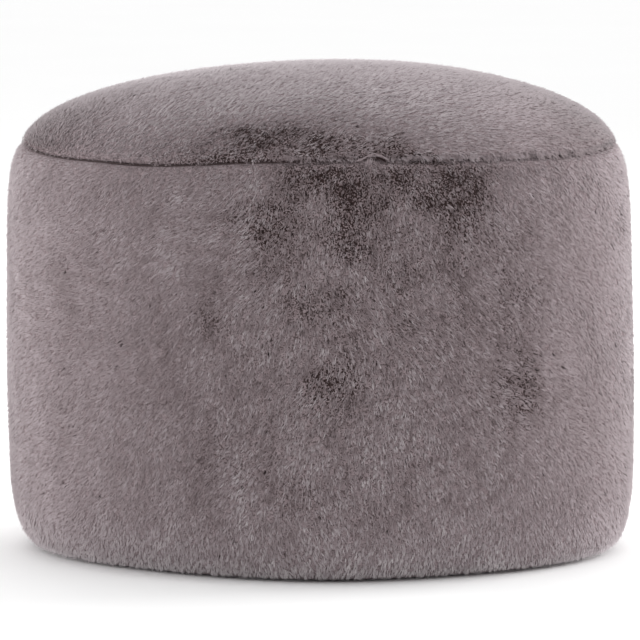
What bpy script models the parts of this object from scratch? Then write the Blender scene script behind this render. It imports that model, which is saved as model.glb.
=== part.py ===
"""Round bean bag footstool in short plush pile.

Three cut pieces are sewn round and filled: a crowned top panel, a bulged side panel
whose shoulder draws in to the top seam, and a flat base panel. Each is modelled as the
filled form that it covers, out to the tips of its pile.

Metres, +Z up. The origin is on the floor, under the middle of the stool. Angles run
round the stool from its front, which faces -Y, towards its right, +X.
"""
from collections import namedtuple
from math import atan2, cos, degrees, exp, hypot, pi, radians, sqrt

import bmesh
import bpy
from mathutils import Vector

# Driving dimensions
BELLY_RADIUS = 0.2498        # widest reach of the side panel
SEAM_HEIGHT = 0.3205         # top seam, above the floor
SEAM_RADIUS = 0.2318         # bottom of the groove that the top seam pulls in
SEAM_GROOVE = 0.0022         # the top panel's edge rolls over above the seam by this
CROWN_RADIUS = 0.2345        # top panel's edge, where its pile overhangs the seam
CROWN_RISE = 0.0645          # how far the filled top stands above its seam
CROWN_FULLNESS = 1.85        # 2 is a half ellipse; less draws the crown's edge in
CROWN_DRIFT = 0.0140         # the crown's top sits this far right of the middle
FLOOR_RADIUS = 0.2160        # where the side panel leaves the floor
BASE_RADIUS = 0.1760         # base panel's cut edge, at the base seam
BASE_THICKNESS = 0.0060      # base panel with the filling pressed flat on it
CROWN_TILT = 0.0090          # the crown stands higher on the right, by this slope
LEAN = 0.0032                # the foot of the side panel sits this far right of its top
PIECE_GAP = 0.0003           # clearance between two sewn pieces

# Fineness of the solids
STEPS_AROUND = 72
STEPS_PER_STRETCH = 3        # rings between two sections of the side panel
CROWN_STEPS = 12
SEAM_RINGS = (0.80, 0.52, 0.24)   # rings across the surface where two pieces meet

# How far round or up a local unevenness reaches
SEAM_SOFTNESS = 0.055
FOOT_SOFTNESS = 0.030
DRIFT_FADE = 8                    # the crown's drift keeps to its very top

Section = namedtuple("Section", "height radius")
Wave = namedtuple("Wave", "angle spread reach")
Dimple = namedtuple("Dimple", "angle height spread reach")

# Half outline of the side panel, from the floor up to the top seam
SIDE_SECTIONS = (
    Section(0.0000, FLOOR_RADIUS),
    Section(0.0035, BELLY_RADIUS - 0.0190),
    Section(0.0142, BELLY_RADIUS - 0.0102),
    Section(0.0300, BELLY_RADIUS - 0.0050),
    Section(0.0500, BELLY_RADIUS - 0.0020),
    Section(0.0900, BELLY_RADIUS - 0.0006),
    Section(0.1550, BELLY_RADIUS),
    Section(0.2200, BELLY_RADIUS - 0.0010),
    Section(0.2700, BELLY_RADIUS - 0.0022),
    Section(0.2980, BELLY_RADIUS - 0.0050),
    Section(0.3110, BELLY_RADIUS - 0.0084),
    Section(0.3175, BELLY_RADIUS - 0.0122),
    Section(SEAM_HEIGHT, SEAM_RADIUS),
)

# Rise and fall of the top seam round the stool, in degrees, degrees and metres
SEAM_WAVES = (
    Wave(-60, 17, -0.0042),
    Wave(-33, 15, -0.0048),
    Wave(10, 11, 0.0022),
    Wave(62, 16, -0.0020),
    Wave(118, 24, 0.0022),
    Wave(172, 26, -0.0030),
    Wave(-120, 24, 0.0018),
)

# How far the foot of the side panel stands out or is tucked in
FOOT_WAVES = (
    Wave(-36, 28, -0.0170),
    Wave(28, 17, -0.0080),
    Wave(70, 16, 0.0040),
    Wave(135, 25, -0.0060),
    Wave(-150, 28, -0.0080),
)

# Soft hollows and swellings that the filling leaves in the side panel
SIDE_DIMPLES = (
    Dimple(12, 0.245, 0.060, -0.0020),
    Dimple(-30, 0.130, 0.070, 0.0014),
    Dimple(38, 0.120, 0.075, 0.0012),
    Dimple(110, 0.200, 0.080, -0.0018),
    Dimple(165, 0.110, 0.080, 0.0016),
    Dimple(-135, 0.230, 0.075, -0.0018),
)


def turned_from_front(point):
    """Angle of a point round the stool, in degrees from its front."""
    return degrees(atan2(point.x, -point.y))


def degrees_apart(angle, other):
    return (angle - other + 180) % 360 - 180


def soft(distance, reach):
    """1 at no distance, fading to 0 a few reaches away."""
    return exp(-(distance / reach) ** 2)


def along_waves(waves, angle):
    return sum(w.reach * soft(degrees_apart(angle, w.angle), w.spread) for w in waves)


def dimple_depth(angle, height):
    total = 0.0
    for dimple in SIDE_DIMPLES:
        across = radians(degrees_apart(angle, dimple.angle)) * BELLY_RADIUS
        up = height - dimple.height
        total += dimple.reach * soft(hypot(across, up), dimple.spread)
    return total


def settled(point):
    """Move a point of the even, turned form to where it lies on the soft, filled one."""
    angle = turned_from_front(point)
    radius = hypot(point.x, point.y)
    outness = min(radius / SEAM_RADIUS, 1.0) ** 2
    height = point.z

    seam_pull = soft(height - SEAM_HEIGHT, SEAM_SOFTNESS) * outness
    crown_share = max(height - SEAM_HEIGHT, 0.0) / CROWN_RISE
    side_share = min(height, SEAM_HEIGHT) / SEAM_HEIGHT
    foot_share = soft(height, FOOT_SOFTNESS) * outness

    reach = along_waves(FOOT_WAVES, angle) * foot_share
    reach += dimple_depth(angle, height) * outness
    outward = Vector((point.x, point.y, 0.0)).normalized()
    rise = along_waves(SEAM_WAVES, angle) * seam_pull + CROWN_TILT * point.x * crown_share
    drift = CROWN_DRIFT * crown_share ** DRIFT_FADE - LEAN * side_share
    return point + outward * reach + Vector((drift, 0.0, rise))


def through_sections(sections, steps):
    """Points (radius, height) on a smooth curve through all the sections."""
    knots = [Vector((s.radius, s.height)) for s in sections]
    knots = [2 * knots[0] - knots[1]] + knots + [2 * knots[-1] - knots[-2]]
    points = []
    for before, start, end, after in zip(knots, knots[1:], knots[2:], knots[3:]):
        span = (end - start).length
        tilt_in = (end - before) / (start - before + end - start).length * span
        tilt_out = (after - start) / (after - end + end - start).length * span
        for step in range(steps):
            t = step / steps
            points.append(start * (2 * t ** 3 - 3 * t ** 2 + 1)
                          + tilt_in * (t ** 3 - 2 * t ** 2 + t)
                          + end * (3 * t ** 2 - 2 * t ** 3)
                          + tilt_out * (t ** 3 - t ** 2))
    points.append(knots[-2])
    return points


def seam_surface(height):
    """Half outline across the filling, from just inside the seam to the middle."""
    rings = [Vector((SEAM_RADIUS * share, height)) for share in SEAM_RINGS]
    return rings + [Vector((0.0, height))]


def crown_outline():
    """Half outline of the top panel, from its middle out and down to the seam."""
    points = []
    for step in range(CROWN_STEPS):
        rise = cos(pi / 2 * step / CROWN_STEPS)
        radius = CROWN_RADIUS * sqrt(1 - rise ** CROWN_FULLNESS)
        points.append(Vector((radius, SEAM_HEIGHT + CROWN_RISE * rise)))
    edge_height = SEAM_HEIGHT + SEAM_GROOVE
    return points + [Vector((CROWN_RADIUS, edge_height)),
                     Vector((SEAM_RADIUS, SEAM_HEIGHT + PIECE_GAP))]


def turned_form(name, outline):
    """Spin a half outline of (radius, height) points into one closed, settled form."""
    form = bmesh.new()
    verts = [form.verts.new((p.x, 0.0, p.y)) for p in outline]
    edges = [form.edges.new(pair) for pair in zip(verts, verts[1:])]
    bmesh.ops.spin(form, geom=verts + edges, axis=(0, 0, 1), cent=(0, 0, 0), dvec=(0, 0, 0),
                   angle=2 * pi, steps=STEPS_AROUND, use_merge=True, use_duplicate=False)
    bmesh.ops.remove_doubles(form, verts=form.verts, dist=PIECE_GAP / 10)
    for vert in form.verts:
        vert.co = settled(vert.co)
    bmesh.ops.recalc_face_normals(form, faces=form.faces)
    mesh = bpy.data.meshes.new(name)
    form.to_mesh(mesh)
    form.free()
    mesh.shade_smooth()
    mesh.set_sharp_from_angle(angle=radians(50))
    return mesh


def cloth(name, colour, roughness):
    material = bpy.data.materials.new(name)
    material.use_nodes = True
    shader = material.node_tree.nodes["Principled BSDF"]
    shader.inputs["Base Color"].default_value = (*colour, 1.0)
    shader.inputs["Roughness"].default_value = roughness
    shader.inputs["Metallic"].default_value = 0.0
    return material


def add_piece(name, outline, material):
    mesh = turned_form(name, outline)
    mesh.materials.append(material)
    piece = bpy.data.objects.new(name, mesh)
    bpy.context.scene.collection.objects.link(piece)
    return piece


def top_panel_outline():
    return crown_outline() + seam_surface(SEAM_HEIGHT + PIECE_GAP)


def side_panel_outline():
    """Up the outside, in along the seam surface, and the recess that holds the base."""
    recess_radius = BASE_RADIUS + PIECE_GAP
    recess_top = BASE_THICKNESS + PIECE_GAP
    recess = [Vector((0.0, recess_top)),
              Vector((recess_radius / 2, recess_top)),
              Vector((recess_radius, recess_top)),
              Vector((recess_radius, 0.0))]
    outside = through_sections(SIDE_SECTIONS, STEPS_PER_STRETCH)
    return recess + outside + seam_surface(SEAM_HEIGHT)


def base_panel_outline():
    return [Vector((0.0, 0.0)),
            Vector((BASE_RADIUS / 2, 0.0)),
            Vector((BASE_RADIUS, 0.0)),
            Vector((BASE_RADIUS, BASE_THICKNESS)),
            Vector((BASE_RADIUS / 2, BASE_THICKNESS)),
            Vector((0.0, BASE_THICKNESS))]


def centre_over_origin(pieces):
    """Bring the middle of the whole stool's outline over the origin."""
    points = [vert.co for piece in pieces for vert in piece.data.vertices]
    middle_x = (min(p.x for p in points) + max(p.x for p in points)) / 2
    middle_y = (min(p.y for p in points) + max(p.y for p in points)) / 2
    for piece in pieces:
        for vert in piece.data.vertices:
            vert.co -= Vector((middle_x, middle_y, 0.0))


def clear_scene():
    for item in list(bpy.data.objects):
        bpy.data.objects.remove(item, do_unlink=True)


def main():
    clear_scene()
    plush = cloth("plush_pile", (0.330, 0.285, 0.285), 0.95)
    backing = cloth("base_cloth", (0.105, 0.095, 0.098), 0.90)
    pieces = [add_piece("top_panel", top_panel_outline(), plush),
              add_piece("side_panel", side_panel_outline(), plush),
              add_piece("base_panel", base_panel_outline(), backing)]
    centre_over_origin(pieces)


main()
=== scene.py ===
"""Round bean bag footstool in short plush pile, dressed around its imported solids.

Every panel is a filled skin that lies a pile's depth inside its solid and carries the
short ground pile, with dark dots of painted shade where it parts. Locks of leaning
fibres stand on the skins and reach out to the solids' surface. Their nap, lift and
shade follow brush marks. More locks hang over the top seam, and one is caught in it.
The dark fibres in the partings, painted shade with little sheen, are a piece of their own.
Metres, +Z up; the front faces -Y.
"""

from collections import namedtuple
from math import atan2, cos, degrees, pi, radians, sin

import bmesh
import bpy
import numpy as np
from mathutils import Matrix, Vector


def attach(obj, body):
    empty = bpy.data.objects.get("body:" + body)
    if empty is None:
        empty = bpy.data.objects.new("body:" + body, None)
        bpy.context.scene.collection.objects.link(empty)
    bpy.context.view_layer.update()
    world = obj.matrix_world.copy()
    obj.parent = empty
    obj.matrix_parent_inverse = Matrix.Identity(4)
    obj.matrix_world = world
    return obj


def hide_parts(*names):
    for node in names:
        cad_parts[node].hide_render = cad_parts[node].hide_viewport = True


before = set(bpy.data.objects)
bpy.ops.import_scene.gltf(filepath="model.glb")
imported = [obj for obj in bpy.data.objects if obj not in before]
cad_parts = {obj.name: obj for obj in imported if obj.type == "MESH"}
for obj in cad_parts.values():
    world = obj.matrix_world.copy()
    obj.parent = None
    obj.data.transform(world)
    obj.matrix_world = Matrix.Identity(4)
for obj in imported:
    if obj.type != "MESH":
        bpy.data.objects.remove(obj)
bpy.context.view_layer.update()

# ---------------------------------------------------------------- fibres and locks
FIBRE_LENGTH = 0.0046
FIBRE_WIDTH = 0.00056
FIBRE_WIDEST = 0.42          # how far along it a fibre is widest, as a share of it
FIBRE_RIDGE = 0.35           # height of a fibre's ridge over its edges, in widths
FIBRE_COVER = 0.85           # share of its length that a leaning fibre lies over
FIBRES_PER_LOCK = 3
LOCK_SPREAD = 0.00065        # how far a lock's roots stand from its middle
LOCK_PULL = 0.45             # how far its tips close up again
ROOT_SINK = 0.0003           # how far below the skin the roots start
FLOOR_GAP = 0.0005           # fibres at the foot stay this far above the floor
SIDE_LOCKS = 27_000          # in each quarter of the side panel
TOP_LOCKS = 23_500           # in each half of the top panel
SEAM_LOCKS = 4_200           # round the top seam, before the open stretches are thinned
LOCK_UNEVEN = 0.10           # how far the locks' lengths differ
FIBRE_UNEVEN = 0.09          # how far the lengths in one lock differ
WIDTH_UNEVEN = 0.20
FACING_UNEVEN = 0.04
TURN_SPREAD = 11             # how far locks turn from the nap, in degrees
LEAN_SPREAD = 5              # how far they differ in lean, and their fibres again
LEAST_LEAN = 15
MOST_LEAN = 80
MARK_LEAN = 36               # a mark of -1 stands the fibres up by this many degrees
MARK_TRIM = 0.60             # and makes them shorter by this share
MOST_TRIM = 0.60             # but a darker mark than this trims them no further

# Where each panel's pile stops
SIDE_FLATTEST = 0.86         # the side's skin lies flat here: the upright share of its normal
SIDE_INSIDE = 0.19           # and is inside the stool nearer the middle than this
FOOT_BARE = 0.0015           # or on the floor below this
TOP_UNDERSIDE = -0.25        # the top's skin faces down here: the upward share of its normal
QUARTERS = {"front": 0, "right": 90, "back": 180, "left": -90}   # angles of their middles

# ---------------------------------------------------------------- shade
MEAN_SHADE = 0.50            # shade of the pile where no mark or brushing changes it
MARK_SHADE = 0.20            # how much of a mark goes into the fibres' own colour, partly as painted shade of the brushed pile
LOCK_CONTRAST = 0.045        # how far locks differ in shade
FIBRE_CONTRAST = 0.060       # how far the fibres of one lock differ
STROKE_CONTRAST = 0.180      # how far strokes along the nap differ
LIGHTEST_STROKE = 1.1        # and the most that they lighten, as a share of that
STROKE_SIZE = 0.0024         # across one light and one dark stroke, roughly
STROKE_STRETCH = 5.0         # how much longer than wide a stroke is
STROKE_LAYS = (-60, -30, 0, 30, 60)   # turns of the nap that strokes are drawn for
BELLY_RADIUS = 0.25          # turns an angle into a length round the side, for strokes
SMOOTH_ROOTS = 0.60          # roots are this much lighter, with less painted shade, where the pile lies smooth
SMOOTH_LEAN = 6              # and its fibres lean this much further, in degrees
MEAN_HANDLING = 0.42         # how uneven the pile is where nothing else is said
CROWN_CALM = 0.54            # how much calmer the crown's pile is than the side's
CROWN_CALM_RISE = 0.044      # from this far above the seam
FOOT_PAINTED_LIGHT = 0.24            # painted light: the pile is lighter close to the floor, against its shadow there
FOOT_REACH = 0.036
RIM_PAINTED_LIGHT = 0.40             # and how much more painted light at the very foot
RIM_REACH = 0.008
LIGHT_ROUND = 0.58           # share of that light that lies all round
LIGHT_FRONT = 0.42           # and share that faces the front
BRUSHED_SQUASH = (1.0, 1.0, 0.5)      # brushing shows twice as tall as wide

# ---------------------------------------------------------------- partings
PARTING_START = 1.62         # how deep a gap has to be before the pile parts
UNEVEN_PARTS = 0.38          # how much sooner uneven pile parts
MARK_PARTS = 2.20            # how much sooner it parts in a dark mark
DARKEST_MARK = 0.5           # but a darker mark than this parts it no sooner
SEAM_HOLDS = 0.8             # how much later it parts where it is sewn and shows
PARTING_EDGE = 3.5           # how sharp a parting's edge is
PARTING_SQUASH = (1.0, 1.0, 0.7)      # partings are a little taller than wide
PARTING_AHEAD = 0.0015       # a lock is missing if the pile parts this far ahead of it
PARTING_LOSS = 0.85          # share of the locks that are missing there
PARTING_SHADE = 0.54         # painted shade: how much darker the fibres are where the pile parts
PARTED = 0.30                # fibres darker than this share of a parting go into the copy with little sheen, as painted shade
CUT_SHARES = (0.85, 0.60, 0.38)       # where fibres that reach over a parting may end
CUT_FROM = 0.5               # and how far it has to be parted there

# ---------------------------------------------------------------- the top seam
SEAM_STEPS = 72              # points that the solid has round it
SEAM_INSIDE = 0.20           # the outside of the solid lies further out than this
SEAM_BAND = 0.90             # what lies inside this share of its radius isn't near it
SEWN = 0.0010                # a panel's points this close to it are sewn
SEAM_REACH = 0.0080          # the top seam pulls the ground out to it from this far
SEAM_SHARE = 0.06            # how much of the pile's depth is left at the seam
SEAM_GAPE = 0.45             # and how much more in places where the seam gapes
MEAN_GAPING = 0.34           # how far it gapes on the whole, from 0 to 1
SEAM_LENGTH = 0.50           # how much of its length a fibre keeps at the seam
SEAM_SHADOW = 0.15           # painted shade: how much darker the crown's edge is over the open seam
MEAN_COVER = 0.12            # how far the crown's edge hides it where nothing else is said
EDGE_PULL = 1.3              # how far the crown's edge pile turns down, beside 1 across
EDGE_HANG = 0.2              # share of that which is left where the seam is open
SEAM_ROOT = 0.0016           # how far outside the seam the hanging locks are rooted
SEAM_ROOT_HEIGHTS = (0.0006, 0.0042)
OPEN_LOCKS = 0.10            # share of them that hangs where the seam shows
COVER_LOCKS = 0.90           # and share that only hangs where it is hidden
OPEN_SWAY = 15               # how far they sway where it shows, in degrees
COVER_SWAY = 40              # and how much further where it is hidden
OPEN_HANG = 0.45             # how long they are where it shows, in lengths of a fibre
COVER_HANG = 0.60            # and how much longer where it is hidden
THREAD_RADIUS = 0.0006
THREAD_INSET = 0.9985        # the dark tube lies this share of the seam's radius out

# The lock that is caught in the seam makes an arch
TUFT_ANGLE = 9.9             # middle of the arch, in degrees
TUFT_REACH = 2.7             # half as wide as it is, in degrees
TUFT_RISE = 0.0046
TUFT_RADIUS = 0.2361
TUFT_CLEARING = 0.8          # no locks hang over this share of it
TUFT_CONTRAST = 0.08         # how far its fibres differ in shade
TUFT_ROOTS = 0.3             # how much its roots are lightened

# Its parts: where their fibres start along the arch (0 to 1) and below it, how far on
# and down they end, and how far out they start and end
Tuft = namedtuple("Tuft", "fibres starts below on down root_out tip_out shade dull")
TUFTS = (
    Tuft(54, (-0.15, 0.85), (-0.0005, 0.0010), 0.20, 0.0000, 0.0004, 0.0004, 0.46, False),
    Tuft(36, (0.50, 0.80), (0.0018, 0.0034), 0.16, 0.0000, 0.0004, 0.0004, 0.02, True),
    Tuft(30, (0.20, 0.50), (0.0020, 0.0042), -0.04, 0.0044, 0.0008, 0.0030, 0.48, False),
)

# ---------------------------------------------------------------- the crown's nap
NAP_BACK = 0.5               # how far it turns towards the back, beside 1 across
NAP_BACK_FROM = -0.150       # from here on
NAP_BACK_OVER = 0.140        # and over this length

# ---------------------------------------------------------------- random fields
# A smooth field's size of features, how much it changes what it acts on, and its seed
Field = namedtuple("Field", "size amount seed")
FIELD_WAVES = 14             # waves that make up a field
FIELD_PITCH = 0.6            # how many of each wave go into its size, on average

MARK_SIDEWAYS = Field(0.020, 1.3, 71)          # ragged edges of the side's marks, in degrees
MARK_UPWARDS = Field(0.020, 0.005, 72)         # and in metres
PATCH_SIDEWAYS = Field(0.020, 0.006, 73)       # ragged edges of the top's patches
PATCH_ENDWAYS = Field(0.020, 0.004, 74)
GAPING = Field(0.024, 0.50, 75)                # the seam gapes more here and less there
BLOTCHES = Field(0.011, 0.45, 76)              # marks broken up into blotches
SIDE_SWIRL = Field(0.060, 12, 91)              # turns of the nap, in degrees
TOP_SWIRL = Field(0.080, 10, 92)
LOCK_SWIRL = Field(0.006, radians(12), 96)     # and of a few locks together, in radians
RAGGED_COVER = Field(0.016, 0.14, 97)          # what hides the seam is uneven
HANGING_SWAY = Field(0.007, 1, 98)             # locks over the seam sway to both sides
RAGGED_TIPS = Field(0.004, 0.35, 99)           # and hang down unevenly
TOP_STROKES = Field(STROKE_SIZE * 1.3, 1, 89)
SIDE_STROKES = [Field(STROKE_SIZE, 1, 110 + number) for number in range(len(STROKE_LAYS))]
BRUSHING = (
    Field(0.090, 0.018, 81),
    Field(0.030, 0.058, 82),
    Field(0.013, 0.070, 83),
    Field(0.006, 0.062, 84),
)
GAPS = (
    Field(0.0050, 0.48, 85),
    Field(0.0028, 0.54, 86),
    Field(0.0017, 0.46, 87),
)

# ---------------------------------------------------------------- brush marks
# Each mark lies at an angle round the stool from its front (degrees, right is positive)
# and a height above the floor. Spreads are in degrees and metres.
Mark = namedtuple("Mark", "angle height across up amount")

# Turn of the side panel's nap away from straight down, in degrees; left is positive
NAP_MARKS = (
    Mark(-58, 0.190, 30, 0.160, 62),
    Mark(-20, 0.270, 12, 0.040, 66),
    Mark(42, 0.190, 22, 0.100, -46),
    Mark(70, 0.060, 22, 0.060, -24),
    Mark(-15, 0.095, 12, 0.045, 32),
    Mark(120, 0.180, 34, 0.120, 30),
    Mark(-150, 0.160, 34, 0.120, -34),
)

# Brush marks on the side panel's pile, below 0 darker and above 0 lighter; their colour is
# partly painted shade and light
SIDE_SHADES = (
    Mark(25, 0.306, 6.0, 0.020, -0.40),
    Mark(26.5, 0.276, 3.2, 0.012, -0.18),
    Mark(4.5, 0.300, 4.2, 0.020, -0.32),
    Mark(4.5, 0.268, 3.2, 0.016, -0.36),
    Mark(15, 0.305, 8.0, 0.013, -0.25),
    Mark(-2, 0.311, 5.0, 0.010, -0.24),
    Mark(-11.5, 0.279, 5.5, 0.016, -0.29),
    Mark(-3.4, 0.211, 2.4, 0.013, -0.52),
    Mark(2.5, 0.150, 4.0, 0.013, -0.34),
    Mark(38, 0.152, 3.4, 0.020, -0.25),
    Mark(39, 0.190, 8.0, 0.080, -0.08),
    Mark(-5, 0.072, 2.8, 0.011, -0.12),
    Mark(-20, 0.200, 4.0, 0.016, -0.03),
    Mark(13, 0.284, 15, 0.036, -0.10),
    Mark(44, 0.015, 2.5, 0.008, -0.22),
    Mark(18.5, 0.283, 2.6, 0.008, 0.14),
    Mark(-5, 0.112, 4.5, 0.015, 0.08),
    Mark(1, 0.172, 3.0, 0.010, 0.08),
    Mark(76, 0.262, 5.0, 0.018, -0.26),
    Mark(98, 0.226, 4.0, 0.022, -0.24),
    Mark(112, 0.131, 6.0, 0.014, -0.20),
    Mark(136, 0.281, 7.0, 0.016, -0.34),
    Mark(151, 0.188, 3.5, 0.014, -0.26),
    Mark(172, 0.247, 5.0, 0.020, -0.30),
    Mark(-166, 0.120, 4.0, 0.016, -0.22),
    Mark(-143, 0.264, 5.0, 0.018, -0.32),
    Mark(-121, 0.172, 4.5, 0.015, -0.24),
    Mark(-98, 0.291, 5.0, 0.013, -0.26),
    Mark(-80, 0.110, 5.0, 0.018, -0.16),
)

# Where hands have left the pile more uneven, or where it lies smooth
HANDLED = (
    Mark(8, 0.200, 34, 0.240, 0.50),
    Mark(-55, 0.200, 24, 0.220, -0.13),
    Mark(64, 0.180, 22, 0.200, -0.27),
    Mark(-8, 0.080, 24, 0.060, 0.10),
    Mark(158, 0.230, 30, 0.200, 0.25),
    Mark(-112, 0.220, 26, 0.200, 0.20),
)

# Lighter and darker areas of the side panel's pile, which part no locks: partly the cloth's own
# colour, partly painted light and shade set against how the lamps light it, at the foot and
# towards the sides
SIDE_TONES_AND_PAINTED_LIGHT = (
    Mark(8, 0.085, 42, 0.045, 0.060),
    Mark(62, 0.190, 14, 0.150, -0.090),
    Mark(-64, 0.220, 20, 0.130, -0.050),
    Mark(-78, 0.015, 24, 0.040, -0.060),
    Mark(80, 0.060, 20, 0.090, -0.090),
    Mark(36, 0.160, 9, 0.030, -0.070),
    Mark(32, 0.228, 5, 0.020, -0.045),
    Mark(3.4, 0.203, 6, 0.022, -0.100),
    Mark(-18, 0.300, 7, 0.022, 0.110),
    Mark(-31, 0.266, 12, 0.030, 0.055),
    Mark(-21, 0.120, 5, 0.045, -0.040),
    Mark(-25, 0.012, 14, 0.014, 0.045),
    Mark(37, 0.012, 8, 0.014, 0.045),
    Mark(54, 0.122, 8, 0.034, -0.075),
    Mark(-54, 0.195, 7, 0.060, -0.045),
    Mark(-4, 0.140, 4, 0.020, -0.070),
    Mark(11, 0.148, 4, 0.018, -0.050),
)

Cover = namedtuple("Cover", "angle across amount")

# Where the crown's edge pile hangs over the top seam and hides it, or leaves it open
SEAM_COVERS = (
    Cover(13, 17, 0.85),
    Cover(50, 24, 0.72),
    Cover(-62, 44, -0.50),
    Cover(104, 16, 0.40),
    Cover(163, 20, 0.45),
    Cover(-150, 16, 0.45),
)

Patch = namedtuple("Patch", "x y across along amount")

# Brush marks on the top panel's pile, darker below 0; their colour is partly painted shade
TOP_SHADES = (
    Patch(-0.038, -0.220, 0.034, 0.018, -0.22),
    Patch(-0.074, -0.214, 0.026, 0.016, -0.17),
    Patch(-0.016, -0.208, 0.036, 0.015, -0.11),
    Patch(0.007, -0.230, 0.022, 0.015, -0.30),
    Patch(0.056, -0.226, 0.026, 0.018, -0.32),
    Patch(-0.107, -0.194, 0.022, 0.014, -0.08),
    Patch(-0.020, -0.195, 0.105, 0.035, -0.08),
    Patch(-0.078, -0.192, 0.055, 0.036, -0.13),
    Patch(-0.060, 0.222, 0.034, 0.012, -0.28),
    Patch(0.092, 0.206, 0.026, 0.012, -0.22),
)

# Painted light and shade on the top panel's pile, set against how the lamps light it: lighter
# over the crown's front, darker at its sides and back. They part no locks
TOP_PAINTED_LIGHT_AND_SHADE = (
    Patch(-0.010, -0.160, 0.190, 0.085, 0.170),
    Patch(-0.010, -0.165, 0.140, 0.030, 0.050),
    Patch(-0.235, -0.060, 0.080, 0.120, -0.200),
    Patch(0.225, -0.050, 0.085, 0.120, -0.220),
    Patch(0.020, 0.000, 0.200, 0.090, -0.080),
    Patch(0.140, 0.030, 0.080, 0.090, -0.085),
    Patch(-0.115, -0.175, 0.070, 0.045, 0.065),
    Patch(0.000, 0.220, 0.200, 0.070, -0.030),
)


# ---------------------------------------------------------------- node wiring
class Wire:
    """One output of a node, so that shader maths reads as an expression."""

    def __init__(self, finish, socket):
        self.finish = finish
        self.socket = socket

    def maths(self, operation, *values):
        inputs = dict(enumerate(values))
        return self.finish.node("ShaderNodeMath", {"operation": operation}, inputs)

    def __add__(self, other):
        return self.maths("ADD", self, other)

    def __sub__(self, other):
        return self.maths("SUBTRACT", self, other)

    def __mul__(self, other):
        return self.maths("MULTIPLY", self, other)

    def __rsub__(self, other):
        return self.maths("SUBTRACT", other, self)

    __radd__ = __add__
    __rmul__ = __mul__

    def clamped(self):
        return self.finish.node("ShaderNodeClamp", {}, {"Value": self})


class Finish:
    """A material and the nodes that feed its one Principled shader."""

    def __init__(self, name):
        self.material = bpy.data.materials.new(name)
        self.material.use_nodes = True
        self.tree = self.material.node_tree
        self.shader = self.tree.nodes["Principled BSDF"]

    def node(self, kind, settings, inputs, output=0):
        made = self.tree.nodes.new(kind)
        for name, value in settings.items():
            if name == "stops":
                self.set_stops(made.color_ramp, value)
            else:
                setattr(made, name, value)
        for key, value in inputs.items():
            self.feed(made.inputs[key], value)
        return Wire(self, made.outputs[output])

    def feed(self, socket, value):
        if isinstance(value, Wire):
            self.tree.links.new(value.socket, socket)
        else:
            socket.default_value = value

    def set_stops(self, ramp, stops):
        while len(ramp.elements) > 1:
            ramp.elements.remove(ramp.elements[-1])
        for index, (place, colour) in enumerate(stops):
            stop = ramp.elements[0] if index == 0 else ramp.elements.new(place)
            stop.position = place
            stop.color = (*colour, 1.0)

    def surface(self, **sockets):
        for name, value in sockets.items():
            self.feed(self.shader.inputs[name.replace("_", " ")], value)

    def mixed(self, factor, dark, light):
        settings = {"data_type": "RGBA"}
        inputs = {0: factor, 6: dark, 7: light}
        return self.node("ShaderNodeMix", settings, inputs, output=2)

    def place(self):
        """Object coordinates."""
        return self.node("ShaderNodeTexCoord", {}, {}, output=3)

    def attribute(self, name):
        """A number that the piece's mesh carries at its points."""
        return self.node("ShaderNodeAttribute", {"attribute_name": name}, {}, output=2)

    def noise(self, where, scale, detail=2.0):
        inputs = {"Vector": where, "Scale": scale, "Detail": detail}
        return self.node("ShaderNodeTexNoise", {}, inputs)

    def bands(self, where, direction, scale, distortion):
        settings = {"wave_type": "BANDS", "wave_profile": "SIN", "bands_direction": direction}
        inputs = {"Vector": where, "Scale": scale, "Distortion": distortion}
        return self.node("ShaderNodeTexWave", settings, inputs, output=1)

    def bump(self, height, distance):
        return self.node("ShaderNodeBump", {}, {"Height": height, "Distance": distance})


# ---------------------------------------------------------------- finishes
# Darker colour deep in the pile: partly its undercoat, partly painted shade between the fibres.
# Fibre roots and the ground in the partings take it on.
DARK_ROOTS_AND_PAINTED_SHADE = (0.028, 0.018, 0.017, 1.0)
ROOT_DARKNESS = 0.48         # how much of that a fibre's root takes on
ROOT_FADE = 1.35             # above 1, it has faded out before the tip


def plush_colour(finish, shade):
    """Taupe mauve, browner in the dark and greyer in the light."""
    stops = [(0.0, (0.010, 0.006, 0.006)),
             (0.12, (0.040, 0.027, 0.027)),
             (0.30, (0.165, 0.124, 0.128)),
             (0.55, (0.310, 0.255, 0.267)),
             (0.80, (0.460, 0.405, 0.420)),
             (1.0, (0.640, 0.590, 0.600))]
    return finish.node("ShaderNodeValToRGB", {"stops": stops}, {"Fac": shade})


def set_plush_gloss(finish, sheen, gloss):
    finish.surface(Sheen_Weight=sheen, Sheen_Roughness=0.50, Specular_IOR_Level=gloss,
                   Sheen_Tint=(0.97, 0.92, 0.95, 1.0))


def pile_finish(name, sheen, gloss):
    """Fibres coloured by their chart: shade runs across it, root to tip runs up it."""
    finish = Finish(name)
    chart = finish.node("ShaderNodeUVMap", {"uv_map": "OFBake"}, {})
    shade = finish.node("ShaderNodeSeparateXYZ", {}, {"Vector": chart}, output=0)
    along = finish.node("ShaderNodeSeparateXYZ", {}, {"Vector": chart}, output=1)
    tip = plush_colour(finish, shade)
    root = finish.mixed(ROOT_DARKNESS, tip, DARK_ROOTS_AND_PAINTED_SHADE)
    colour = finish.mixed((along * ROOT_FADE).clamped(), root, tip)
    finish.surface(Base_Color=colour, Roughness=0.80)
    set_plush_gloss(finish, sheen, gloss)
    return finish.material


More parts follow.
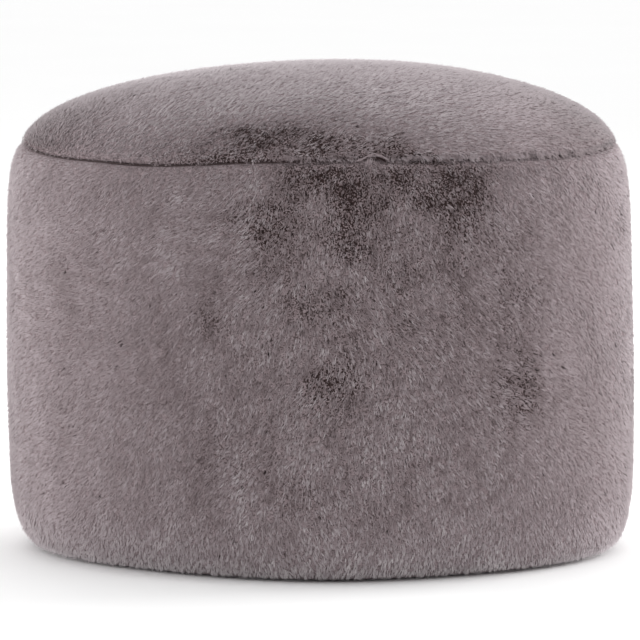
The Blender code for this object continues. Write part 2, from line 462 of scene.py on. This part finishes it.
def ground_finish():
    """The short ground pile between the locks, with dark dots of painted shade where it parts.
    """
    finish = Finish("plush_ground")
    shade, uneven, place = finish.attribute("shade"), finish.attribute("uneven"), finish.place()
    dots, clouds = finish.noise(place, 800.0, detail=1.0), finish.noise(place, 240.0)
    base = shade * MARK_SHADE + MEAN_SHADE * (1 - MARK_SHADE)
    plush = plush_colour(finish, (base + (clouds - 0.5) * 0.30 - 0.06).clamped())
    # painted shade: darker dots where the pile parts and in dark marks, more where it is uneven
    darker = (MEAN_SHADE - shade).clamped()
    parting = ((dots - 0.5) * 7.0 + darker * 2.5 + uneven * 0.2).clamped()
    depth = (uneven * 0.6 + darker * 2.0 + 0.2).clamped()
    colour = finish.mixed(parting * depth, plush, DARK_ROOTS_AND_PAINTED_SHADE)
    finish.surface(Base_Color=colour, Roughness=0.85 + dots * 0.1,
                   Normal=finish.bump(1 - dots, 0.0005))
    # little sheen, so that the painted shade in the gaps stays dark
    set_plush_gloss(finish, 0.04, 0.0)
    return finish.material


def base_cloth_finish():
    """Plain dark woven cloth: threads over and under at a little under a millimetre."""
    finish = Finish("base_cloth")
    place = finish.place()
    weave = finish.bands(place, "X", 190.0, 0.6) * finish.bands(place, "Y", 190.0, 0.6)
    cloud = finish.noise(place, 14.0, detail=4.0)
    colour = finish.mixed((weave * 0.6 + cloud * 0.4).clamped(),
                          (0.030, 0.026, 0.028, 1.0), (0.120, 0.106, 0.110, 1.0))
    finish.surface(Base_Color=colour, Roughness=0.86, Sheen_Weight=0.15,
                   Normal=finish.bump(weave, 0.0004))
    return finish.material


def stitch_and_shadow_finish():
    finish = Finish("seam_stitch_and_shadow")
    twist = finish.noise(finish.place(), 900.0)
    # dark, for the stitching and the groove's painted shadow
    colour = finish.mixed(twist, (0.036, 0.024, 0.024, 1.0), (0.090, 0.066, 0.066, 1.0))
    finish.surface(Base_Color=colour, Roughness=0.9, Specular_IOR_Level=0.1,
                   Normal=finish.bump(twist, 0.0003))
    return finish.material


def floor_finish():
    finish = Finish("studio_floor")
    cloud = finish.noise(finish.place(), 3.0)
    colour = finish.mixed(cloud, (0.975, 0.975, 0.975, 1.0), (0.995, 0.995, 0.995, 1.0))
    finish.surface(Base_Color=colour, Roughness=0.9, Specular_IOR_Level=0.1)
    return finish.material


# ---------------------------------------------------------------- places on the stool
def seam_ring(node):
    """The solid's points at the bottom of the top seam's groove, in order round it."""
    points = {}
    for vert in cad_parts[node].data.vertices:
        if Vector(vert.co[:2]).length > SEAM_INSIDE:
            turn = degrees(atan2(vert.co.x, -vert.co.y)) / 360
            step = round(turn * SEAM_STEPS) % SEAM_STEPS
            if step not in points or vert.co.z > points[step].z:
                points[step] = vert.co.copy()
    return [points[step] for step in sorted(points)]


seam_points = seam_ring("side_panel")
seam_angles = [degrees(atan2(point.x, -point.y)) for point in seam_points]
seam_heights = [point.z for point in seam_points]
seam_radii = [point.xy.length for point in seam_points]


def seam_height(angle):
    return np.interp(angle, seam_angles, seam_heights, period=360)


def seam_radius(angle):
    return np.interp(angle, seam_angles, seam_radii, period=360)


def round_angle(places):
    """Angle of places round the stool, in degrees from its front."""
    return np.degrees(np.arctan2(places[:, 0], -places[:, 1]))


def degrees_apart(angle, other):
    return (angle - other + 180) % 360 - 180


def from_middle(places):
    return np.hypot(places[:, 0], places[:, 1])


def above_seam(places, reach):
    """0 at the lowest point of the top seam and below it, 1 from this far above it."""
    return np.clip((places[:, 2] - min(seam_heights)) / reach, 0.0, 1.0)


def seam_distance(places):
    """0 at the top seam, 1 at SEAM_REACH from it and further."""
    up = np.abs(places[:, 2] - seam_height(round_angle(places)))
    share = np.clip(up / SEAM_REACH, 0.0, 1.0)
    return np.where(from_middle(places) < min(seam_radii) * SEAM_BAND, 1.0, share)


def unit(vectors):
    return vectors / np.maximum(np.linalg.norm(vectors, axis=1, keepdims=True), 1e-9)


def wander(places, field):
    """A smooth random field at places, about minus its amount to plus its amount."""
    draw = np.random.default_rng(field.seed)
    waves = draw.normal(size=(FIELD_WAVES, 3)) * (2 * pi / field.size) * FIELD_PITCH
    phases = draw.random(FIELD_WAVES) * 2 * pi
    value = np.sin(places @ waves.T + phases).sum(1) / np.sqrt(FIELD_WAVES)
    return field.amount * value


# ---------------------------------------------------------------- shade and partings
def side_marks(marks, places):
    """Sum of the marks at places on the side panel, with ragged edges."""
    angle = round_angle(places) + wander(places, MARK_SIDEWAYS)
    height = places[:, 2] + wander(places, MARK_UPWARDS)
    total = np.zeros(len(places))
    for mark in marks:
        across = degrees_apart(angle, mark.angle) / mark.across
        reach = across ** 2 + ((height - mark.height) / mark.up) ** 2
        total += mark.amount * np.exp(-reach)
    return total


def top_patches(patches, places):
    """Sum of the patches at places on the top panel, with ragged edges."""
    x = places[:, 0] + wander(places, PATCH_SIDEWAYS)
    y = places[:, 1] + wander(places, PATCH_ENDWAYS)
    total = np.zeros(len(places))
    for patch in patches:
        reach = ((x - patch.x) / patch.across) ** 2 + ((y - patch.y) / patch.along) ** 2
        total += patch.amount * np.exp(-reach)
    return total


def blotched(total, places):
    """Marks broken up where the locks fell one way or the other."""
    return total * (1 + wander(places, BLOTCHES))


def side_shades(places):
    return blotched(side_marks(SIDE_SHADES, places), places)


def top_shades(places):
    return blotched(top_patches(TOP_SHADES, places), places)


def seam_shades(places):
    """The darker one of the two panels' marks that meet here."""
    return np.minimum(top_shades(places), side_shades(places))


def seam_cover(places):
    """0 to 1: how far the crown's edge hides the seam."""
    angle = round_angle(places)
    total = MEAN_COVER + wander(places, RAGGED_COVER)
    for cover in SEAM_COVERS:
        across = degrees_apart(angle, cover.angle) / cover.across
        total = total + cover.amount * np.exp(-across ** 2)
    return np.clip(total, 0.0, 1.0)


def seam_shadow(places):
    """Painted shade on the crown's edge, which turns under towards the seam where nothing
    hangs.
    """
    above = places[:, 2] > seam_height(round_angle(places))
    near = (1 - seam_distance(places)) ** 2 * above
    return SEAM_SHADOW * near * (1 - seam_cover(places))


def painted_foot_light(places):
    """Painted light on the pile at the foot, against the shadow where it meets the floor, most
    of all at the front.
    """
    light = (FOOT_PAINTED_LIGHT * np.exp(-(places[:, 2] / FOOT_REACH) ** 2)
             + RIM_PAINTED_LIGHT * np.exp(-(places[:, 2] / RIM_REACH) ** 2))
    return light * (LIGHT_ROUND + LIGHT_FRONT * np.cos(np.radians(round_angle(places))))


def handling(places):
    """How uneven the pile is."""
    uneven = MEAN_HANDLING + side_marks(HANDLED, places)
    return uneven * (1 - CROWN_CALM * above_seam(places, CROWN_CALM_RISE))


def tone_and_painted_light(places):
    """The cloth's uneven brushing at several scales, and lighter and darker areas that are
    partly painted light and shade: at the foot, on the crown and sides, and at the seam's edge.
    """
    brushed = sum(wander(places * BRUSHED_SQUASH, field) for field in BRUSHING)
    crown = above_seam(places, SEAM_REACH) * top_patches(TOP_PAINTED_LIGHT_AND_SHADE, places)
    painted_light_and_cloth_marks = painted_foot_light(places) + crown + side_marks(SIDE_TONES_AND_PAINTED_LIGHT, places)
    return handling(places) * brushed + painted_light_and_cloth_marks - seam_shadow(places)


def partings(places, marks, uneven):
    """0 to 1: gaps a lock wide, crowded in a dark mark, where the pile parts and is painted
    dark as shade.
    """
    gaps = sum(wander(places * PARTING_SQUASH, field) for field in GAPS)
    threshold = PARTING_START - UNEVEN_PARTS * uneven
    threshold = threshold - MARK_PARTS * np.clip(-marks, 0.0, DARKEST_MARK)
    threshold += SEAM_HOLDS * (1 - seam_distance(places)) * (1 - seam_cover(places))
    return np.clip((gaps - threshold) * PARTING_EDGE, 0.0, 1.0)


# ---------------------------------------------------------------- nap, reach and strokes
def downhill(normals):
    """Straight down, as far as the surface lets it."""
    return unit(np.array([0.0, 0.0, -1.0]) - normals * -normals[:, 2:3])


def side_turn(places):
    """How far the side panel's nap is turned from straight down, in degrees."""
    return side_marks(NAP_MARKS, places) + wander(places, SIDE_SWIRL)


def side_nap(places, normals):
    down = downhill(normals)
    left = np.cross(down, normals)
    turn = np.radians(side_turn(places))[:, None]
    return down * np.cos(turn) + left * np.sin(turn)


def side_reach(places):
    return SEAM_LENGTH + (1 - SEAM_LENGTH) * seam_distance(places)


def side_strokes(places):
    """About -1 to 1: dark and light strokes, drawn out along the side panel's nap."""
    turn = np.clip(side_turn(places), STROKE_LAYS[0], STROKE_LAYS[-1])
    step = STROKE_LAYS[1] - STROKE_LAYS[0]
    arc, height = np.radians(round_angle(places)) * BELLY_RADIUS, places[:, 2]
    total, power = np.zeros(len(places)), np.zeros(len(places))
    for lay, field in zip(STROKE_LAYS, SIDE_STROKES):
        share = np.clip(1 - np.abs(turn - lay) / step, 0.0, 1.0)
        over, down = sin(radians(lay)), cos(radians(lay))
        along = (arc * over + height * down) / STROKE_STRETCH
        across = arc * down - height * over
        drawn = np.stack([along, across, np.zeros(len(places))], 1)
        total += share * wander(drawn, field)
        power += share ** 2
    return total / np.sqrt(power)


def top_nap(places, normals):
    """Across the crown's front, towards its back further on, and down at the seam."""
    across = np.tile([1.0, 0.0, 0.0], (len(places), 1))
    back = (places[:, 1] - NAP_BACK_FROM) / NAP_BACK_OVER
    across[:, 1] = NAP_BACK * np.clip(back, 0.0, 1.0)
    across = unit(across - normals * (normals * across).sum(1)[:, None])
    forward = np.cross(normals, across)
    turn = np.radians(wander(places, TOP_SWIRL))[:, None]
    across = across * np.cos(turn) + forward * np.sin(turn)
    hang = (1 - seam_distance(places)) * (EDGE_HANG + seam_cover(places))
    return unit(across + downhill(normals) * EDGE_PULL * hang[:, None])


def top_reach(places):
    near = 1 - seam_distance(places)
    return 1 - near * (1 - SEAM_LENGTH) * (1 - seam_cover(places))


def top_strokes(places):
    """The same strokes on the top panel, drawn out across it."""
    return wander(places * (1 / STROKE_STRETCH, 1.0, 1.0), TOP_STROKES)


def hanging_nap(places, normals):
    """Straight down over the seam, swaying to both sides."""
    down = np.tile([0.0, 0.0, -1.0], (len(places), 1))
    most = OPEN_SWAY + COVER_SWAY * seam_cover(places)
    sway = np.radians(most * wander(places, HANGING_SWAY))[:, None]
    return down * np.cos(sway) + np.cross(down, normals) * np.sin(sway)


def hanging_reach(places):
    ragged = 1 + wander(places, RAGGED_TIPS)
    return (OPEN_HANG + COVER_HANG * seam_cover(places) ** 2) * ragged


# A panel's pile: how deep it is, how far it leans from upright in degrees, and the
# functions for its nap, its fibres' length, its marks and its strokes
Panel = namedtuple("Panel", "depth lean nap reach shades strokes")
SIDE = Panel(0.0028, 56, side_nap, side_reach, side_shades, side_strokes)
TOP = Panel(0.0019, 65, top_nap, top_reach, top_shades, top_strokes)
SEAM = Panel(0.0000, 51, hanging_nap, hanging_reach, seam_shades, top_strokes)


# ---------------------------------------------------------------- pieces and skins
def linked(name, data):
    """A new object at the origin that holds this mesh, curve, light or lens."""
    piece = bpy.data.objects.new(name, data)
    bpy.context.scene.collection.objects.link(piece)
    return piece


def add_object(name, form, material):
    mesh = bpy.data.meshes.new(name)
    form.to_mesh(mesh)
    form.free()
    mesh.shade_smooth()
    mesh.materials.append(material)
    return linked(name, mesh)


def softened(piece):
    modifier = piece.modifiers.new("soften", "SUBSURF")
    modifier.levels = modifier.render_levels = 1
    return piece


def merged_copy(node):
    """The node's own mesh as a bmesh of joined quads."""
    form = bmesh.new()
    form.from_mesh(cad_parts[node].data)
    bmesh.ops.remove_doubles(form, verts=form.verts, dist=0.00005)
    bmesh.ops.join_triangles(form, faces=form.faces, angle_face_threshold=pi,
                             angle_shape_threshold=pi)
    return form


def keep_seam_sharp(form, places):
    """Crease the edge that is sewn, so that softening the panel doesn't draw it in."""
    crease = form.edges.layers.float.new("crease_edge")
    angles = round_angle(places)
    up, out = places[:, 2] - seam_height(angles), from_middle(places) - seam_radius(angles)
    sewn = np.hypot(up, out) < SEWN
    form.verts.index_update()
    for edge in form.edges:
        if all(sewn[vert.index] for vert in edge.verts):
            edge[crease] = 1.0


def depth_share(places):
    """How deep the pile is: whole away from the top seam, shallow where it is sewn."""
    share = seam_distance(places)
    gaping = np.clip(MEAN_GAPING + wander(places, GAPING), 0.0, 1.0)
    least = SEAM_SHARE + SEAM_GAPE * gaping * (1 - seam_cover(places))
    return least + (1 - least) * share * (2 - share)


def skin(name, node, panel, material):
    """A panel's ground: its solid drawn in by the pile's depth, flat on the floor."""
    form = merged_copy(node)
    form.normal_update()
    places = np.array([vert.co for vert in form.verts])
    normals = np.array([vert.normal for vert in form.verts])
    keep_seam_sharp(form, places)
    step = normals * (panel.depth * depth_share(places))[:, None]
    step[:, 2] *= np.clip(places[:, 2] / panel.depth, 0.0, 1.0)
    for vert, move in zip(form.verts, step):
        vert.co -= Vector(move)
    piece = add_object(name, form, material)
    shade = MEAN_SHADE + panel.shades(places) + tone_and_painted_light(places)
    for kind, values in (("shade", shade), ("uneven", handling(places))):
        layer = piece.data.attributes.new(kind, "FLOAT", "POINT")
        layer.data.foreach_set("value", values.astype(np.float32))
    return softened(piece)


def skin_triangles(piece):
    """Corners and corner normals of a finished skin's triangles."""
    shown = piece.evaluated_get(bpy.context.evaluated_depsgraph_get())
    mesh = shown.to_mesh()
    mesh.calc_loop_triangles()
    count = len(mesh.vertices)
    points, normals = np.empty(count * 3), np.empty(count * 3)
    mesh.vertices.foreach_get("co", points)
    mesh.vertices.foreach_get("normal", normals)
    index = np.empty(len(mesh.loop_triangles) * 3, np.int32)
    mesh.loop_triangles.foreach_get("vertices", index)
    shown.to_mesh_clear()
    index = index.reshape(-1, 3)
    return points.reshape(-1, 3)[index], normals.reshape(-1, 3)[index]


def scattered(corners, normals, count, draw):
    """Places spread evenly over triangles, with the surface's normal at each."""
    edges = corners[:, 1:] - corners[:, :1]
    area = np.linalg.norm(np.cross(edges[:, 0], edges[:, 1]), axis=1)
    total = np.cumsum(area)
    at = (np.arange(count) + draw.random(count)) / count * total[-1]
    chosen = np.minimum(np.searchsorted(total, at), len(total) - 1)
    first, second = draw.random((2, count, 1))
    over = first + second > 1
    first, second = np.where(over, 1 - first, first), np.where(over, 1 - second, second)
    share = np.concatenate([1 - first - second, first, second], 1)[:, :, None]
    places = (corners[chosen] * share).sum(1)
    return places, unit((normals[chosen] * share).sum(1))


# ---------------------------------------------------------------- pile
# Locks as arrays with a row for each: its place, its skin's normal, the way it lies, its
# mark, how uneven the pile is there, its shade, its lean and its length
Locks = namedtuple("Locks", "places outward along marks uneven shade lean length")

# Fibres as arrays with a row for each: the places of its root, right, tip and left,
# its normal, its shade, how much lighter its root is, and whether it is painted shade, dark
# with little sheen
Fibres = namedtuple("Fibres", "corners normals shade lift dull")

# Where a fibre's root, right, tip and left lie on its colour chart, and how much of the
# chart's width and height is used
CHART_ACROSS = (0.0, 0.006, 0.0, -0.006)
CHART_ALONG = (0.03, 0.5, 0.97, 0.5)
CHART_SHADES = (0.02, 0.98)
CHART_ENDS = (0.03, 0.97)


def locks_at(places, outward, panel, draw):
    """Locks that are rooted at these places, fewer where the pile parts."""
    marks, uneven = panel.shades(places), handling(places)
    ahead = places + PARTING_AHEAD * panel.nap(places, outward)
    kept = draw.random(len(places)) > PARTING_LOSS * partings(ahead, marks, uneven)
    places, outward, marks, uneven = places[kept], outward[kept], marks[kept], uneven[kept]
    count = len(places)
    shade = MEAN_SHADE + MARK_SHADE * marks + tone_and_painted_light(places)
    shade += LOCK_CONTRAST * uneven * draw.normal(size=count)
    lean = radians(panel.lean) + radians(MARK_LEAN) * marks
    lean += radians(SMOOTH_LEAN) * (1 - uneven) + radians(LEAN_SPREAD) * draw.normal(size=count)
    turn = radians(TURN_SPREAD) * draw.normal(size=count) + wander(places, LOCK_SWIRL)
    turn = turn[:, None]
    length = FIBRE_LENGTH * panel.reach(places) * (1 + LOCK_UNEVEN * draw.normal(size=count))
    length *= 1 + MARK_TRIM * np.clip(marks, -MOST_TRIM, 0.0)
    nap = panel.nap(places, outward)
    along = nap * np.cos(turn) + np.cross(outward, nap) * np.sin(turn)
    return Locks(places, outward, along, marks, uneven, shade, lean, length)


def grown(places, outward, panel, draw):
    """The fibres of the locks that are rooted at these places."""
    locks = locks_at(places, outward, panel, draw)
    lock = Locks(*(np.repeat(rows, FIBRES_PER_LOCK, axis=0) for rows in locks))
    count = len(lock.places)
    spread = draw.normal(size=(2, count, 1)) * LOCK_SPREAD
    offset = lock.along * spread[0] + np.cross(lock.outward, lock.along) * spread[1]
    lean = lock.lean + radians(LEAN_SPREAD) * draw.normal(size=count)
    lean = np.clip(lean, radians(LEAST_LEAN), radians(MOST_LEAN))[:, None]
    length = (lock.length * (1 + FIBRE_UNEVEN * draw.normal(size=count)))[:, None]
    roots = lock.places + offset - lock.outward * ROOT_SINK
    shade = lock.shade + FIBRE_CONTRAST * lock.uneven * draw.normal(size=count)
    strokes = np.minimum(panel.strokes(roots), LIGHTEST_STROKE)
    shade += STROKE_CONTRAST * lock.uneven * strokes
    dark = partings(roots, lock.marks, lock.uneven)
    reach = lock.along * length * FIBRE_COVER
    length *= cut_share(roots, reach, lock.marks, lock.uneven)[:, None]
    tips = roots + (lock.outward * np.cos(lean) + lock.along * np.sin(lean)) * length
    tips = tips - offset * LOCK_PULL
    width = FIBRE_WIDTH * (1 + WIDTH_UNEVEN * draw.normal(size=(count, 1)))
    facing = unit(lock.outward + FACING_UNEVEN * draw.normal(size=(count, 3)))
    return Fibres(blades(roots, tips, facing, width), facing, shade - PARTING_SHADE * dark,
                  SMOOTH_ROOTS * (1 - lock.uneven), dark > PARTED)


def cut_share(roots, reach, marks, uneven):
    """How much of its reach a fibre keeps, so that it doesn't lie over a parting."""
    kept = np.ones(len(roots))
    for share in CUT_SHARES:
        over = partings(roots + reach * share, marks, uneven) > CUT_FROM
        kept = np.where(over, share, kept)
    return kept


def blades(roots, tips, facing, width):
    """Corners of blades whose edges, at their widest, lie below the ridge."""
    ridge = unit(tips - roots)
    across = unit(np.cross(ridge, facing))
    above = np.cross(across, ridge)
    widest = roots + (tips - roots) * FIBRE_WIDEST - above * width * FIBRE_RIDGE
    rights, lefts = widest + across * width / 2, widest - across * width / 2
    corners = np.stack([roots, rights, tips, lefts], 1)
    corners[:, :, 2] = np.maximum(corners[:, :, 2], FLOOR_GAP)
    return corners


def add_fibres(name, fibres, material):
    """One joined mesh of ridged blades, two triangles each, with their chart places.

    The ridge runs from root to tip and the two edges lie below it, so that a blade
    shows its outside from all round.
    """
    count = len(fibres.corners)
    start = np.arange(count)[:, None] * 4
    faces = np.concatenate([start + (0, 1, 2), start + (0, 2, 3)], 1).reshape(-1, 3)
    mesh = bpy.data.meshes.new(name)
    mesh.vertices.add(count * 4)
    mesh.vertices.foreach_set("co", fibres.corners.astype(np.float32).ravel())
    mesh.loops.add(faces.size)
    mesh.loops.foreach_set("vertex_index", faces.ravel().astype(np.int32))
    mesh.polygons.add(len(faces))
    mesh.polygons.foreach_set("loop_start", np.arange(0, faces.size, 3, dtype=np.int32))
    mesh.update(calc_edges=True)
    across = np.clip(fibres.shade, *CHART_SHADES)[:, None] + CHART_ACROSS
    along = np.clip(fibres.lift[:, None] + CHART_ALONG, *CHART_ENDS)
    chart = np.stack([across, along], 2).reshape(-1, 2)[faces.ravel()]
    layer = mesh.uv_layers.new(name="OFBake")
    layer.uv.foreach_set("vector", chart.astype(np.float32).ravel())
    mesh.shade_smooth()
    mesh.normals_split_custom_set_from_vertices(np.repeat(fibres.normals, 4, axis=0))
    mesh.materials.append(material)
    return linked(name, mesh)


def picked(fibres, chosen):
    return Fibres(*(rows[chosen] for rows in fibres))


def joined(parts):
    return Fibres(*(np.concatenate(rows) for rows in zip(*parts)))


def side_pile(side_skin):
    corners, normals = skin_triangles(side_skin)
    middle, facing = corners.mean(1), unit(normals.mean(1))
    outer = (np.abs(facing[:, 2]) < SIDE_FLATTEST) & (from_middle(middle) > SIDE_INSIDE)
    outer &= middle[:, 2] > FOOT_BARE
    made = {}
    for number, (side, centre) in enumerate(QUARTERS.items()):
        here = outer & (np.abs(degrees_apart(round_angle(middle), centre)) <= 45)
        draw = np.random.default_rng(100 + number)
        places, outward = scattered(corners[here], normals[here], SIDE_LOCKS, draw)
        made["side_pile_" + side] = grown(places, outward, SIDE, draw)
    return made


def top_pile(top_skin):
    corners, normals = skin_triangles(top_skin)
    middle, facing = corners.mean(1), unit(normals.mean(1))
    outer = facing[:, 2] > TOP_UNDERSIDE
    halves = {"front": middle[:, 1] <= 0, "back": middle[:, 1] > 0}
    made = {}
    for number, (side, half) in enumerate(halves.items()):
        here = outer & half
        draw = np.random.default_rng(200 + number)
        places, outward = scattered(corners[here], normals[here], TOP_LOCKS, draw)
        made["top_pile_" + side] = grown(places, outward, TOP, draw)
    return made


# ---------------------------------------------------------------- seam
def round_the_stool(angle, radius, height):
    """Places at these angles, and the directions that face straight out there."""
    turned = np.radians(angle)
    outward = np.stack([np.sin(turned), -np.cos(turned), np.zeros(len(angle))], 1)
    places = outward * radius[:, None]
    places[:, 2] = height
    return places, outward


def seam_pile():
    """Locks that hang from the crown's edge over the seam, thick where they hide it."""
    draw = np.random.default_rng(300)
    angle = draw.uniform(-180, 180, SEAM_LOCKS)
    height = seam_height(angle) + draw.uniform(*SEAM_ROOT_HEIGHTS, SEAM_LOCKS)
    places, outward = round_the_stool(angle, seam_radius(angle) + SEAM_ROOT, height)
    share = OPEN_LOCKS + COVER_LOCKS * np.sqrt(seam_cover(places))
    kept = draw.random(SEAM_LOCKS) < share
    kept &= np.abs(angle - TUFT_ANGLE) > TUFT_CLEARING * TUFT_REACH
    return {"seam_pile": grown(places[kept], outward[kept], SEAM, draw)}


def over_arch(share, below, out):
    """Places on a small arch over the seam, from its left foot (0) to its right one (1)."""
    angle = TUFT_ANGLE + TUFT_REACH * (2 * share - 1)
    rise = TUFT_RISE * np.sin(pi * np.clip(share, 0.0, 1.0))
    radius = np.full(len(share), TUFT_RADIUS + out)
    return round_the_stool(angle, radius, seam_height(angle) + rise - below)[0]


def seam_tuft():
    """A lock caught in the seam: a light arch, painted shadow in the gap under it and a short
    tuft.
    """
    draw = np.random.default_rng(400)
    ends = []
    for tuft in TUFTS:
        share = draw.uniform(*tuft.starts, tuft.fibres)
        below = draw.uniform(*tuft.below, tuft.fibres)
        ends.append((over_arch(share, below, tuft.root_out),
                     over_arch(share + tuft.on, below + tuft.down, tuft.tip_out)))
    roots, tips = (np.concatenate(places) for places in zip(*ends))
    counts = [tuft.fibres for tuft in TUFTS]
    shade = np.repeat([tuft.shade for tuft in TUFTS], counts)
    shade = shade + TUFT_CONTRAST * draw.normal(size=len(roots))
    dull = np.repeat([tuft.dull for tuft in TUFTS], counts)
    lift = np.where(dull, 0.0, TUFT_ROOTS)
    outward = unit(roots * (1.0, 1.0, 0.0))
    corners = blades(roots, tips, outward, FIBRE_WIDTH)
    return {"seam_tuft": Fibres(corners, outward, shade, lift, dull)}


def seam_stitch_and_shadow(material):
    """The dark line at the bottom of the seam's groove, a thin closed tube: the stitching and
    the groove's painted shadow.
    """
    curve = bpy.data.curves.new("top_seam_stitching_and_shadow", "CURVE")
    curve.dimensions = "3D"
    curve.bevel_depth = THREAD_RADIUS
    curve.bevel_resolution = 2
    line = curve.splines.new("NURBS")
    line.points.add(len(seam_points) - 1)
    for point, place in zip(line.points, seam_points):
        point.co = (place.x * THREAD_INSET, place.y * THREAD_INSET, place.z, 1.0)
    line.use_cyclic_u = True
    line.order_u = 3
    line.resolution_u = 4
    curve.materials.append(material)
    return linked("top_seam_stitching_and_shadow", curve)


# ---------------------------------------------------------------- stage
def add_floor(material):
    form = bmesh.new()
    bmesh.ops.create_grid(form, x_segments=2, y_segments=2, size=60.0)
    bmesh.ops.translate(form, verts=form.verts, vec=(0, 0, -0.0002))
    floor = add_object("floor", form, material)


def turned_to(item, place, target):
    """Put a lamp or camera at a place and point it at its target."""
    item.location = place
    item.rotation_euler = (Vector(target) - Vector(place)).to_track_quat("-Z", "Y").to_euler()


def add_light(name, place, target, size, power):
    light = bpy.data.lights.new(name, "AREA")
    light.shape = "RECTANGLE"
    light.size, light.size_y = size
    light.energy = power
    turned_to(linked(name, light), place, target)


def add_studio():
    world = bpy.data.worlds.new("studio")
    world.use_nodes = True
    world.node_tree.nodes["Background"].inputs["Color"].default_value = (1, 1, 1, 1)
    world.node_tree.nodes["Background"].inputs["Strength"].default_value = 1.0
    bpy.context.scene.world = world
    bpy.context.scene.view_settings.view_transform = "Standard"
    add_light("softbox_left", (-2.6, 1.0, 0.45), (0, 0, 0.15), (2.0, 0.8), 54)
    add_light("softbox_right", (2.5, 1.4, 0.75), (0, 0, 0.15), (2.0, 1.2), 98)
    add_light("softbox_back", (0.2, 3.0, 2.0), (0, 0, 0.3), (3.0, 1.5), 30)


def add_camera():
    """A long lens a little above the top seam, as the photo was taken."""
    lens = bpy.data.cameras.new("camera")
    lens.sensor_width = 36.0
    lens.lens = 356.6
    lens.clip_end = 200.0
    camera = linked("camera", lens)
    turned_to(camera, (0.0, -5.0, 0.668), (-0.0004, 0.0, 0.1787))
    bpy.context.scene.camera = camera


# ---------------------------------------------------------------- assembly
def main():
    add_camera()
    add_studio()
    add_floor(floor_finish())
    ground, cloth = ground_finish(), base_cloth_finish()
    plush = pile_finish("plush_pile", sheen=0.40, gloss=0.15)
    # a copy of the plush with little sheen and no gloss, for the painted shade of the partings
    painted_shade_plush = pile_finish("parted_plush_painted_shade", sheen=0.02, gloss=0.0)

    top_skin = skin("top_skin", "top_panel", TOP, ground)
    side_skin = skin("side_skin", "side_panel", SIDE, ground)
    base = softened(add_object("base_cloth", merged_copy("base_panel"), cloth))
    # the seam's stitching and the groove's painted shadow
    thread = seam_stitch_and_shadow(stitch_and_shadow_finish())

    made = {**side_pile(side_skin), **top_pile(top_skin), **seam_pile(), **seam_tuft()}
    piles = [add_fibres(name, picked(fibres, ~fibres.dull), plush)
             for name, fibres in made.items()]
    dull = joined([picked(fibres, fibres.dull) for fibres in made.values()])
    piles.append(add_fibres("parted_pile_painted_shade", dull, painted_shade_plush))

    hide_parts("top_panel")
    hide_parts("side_panel")
    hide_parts("base_panel")
    for piece in [top_skin, side_skin, thread] + piles:
        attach(piece, "root")
    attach(base, "root")


main()
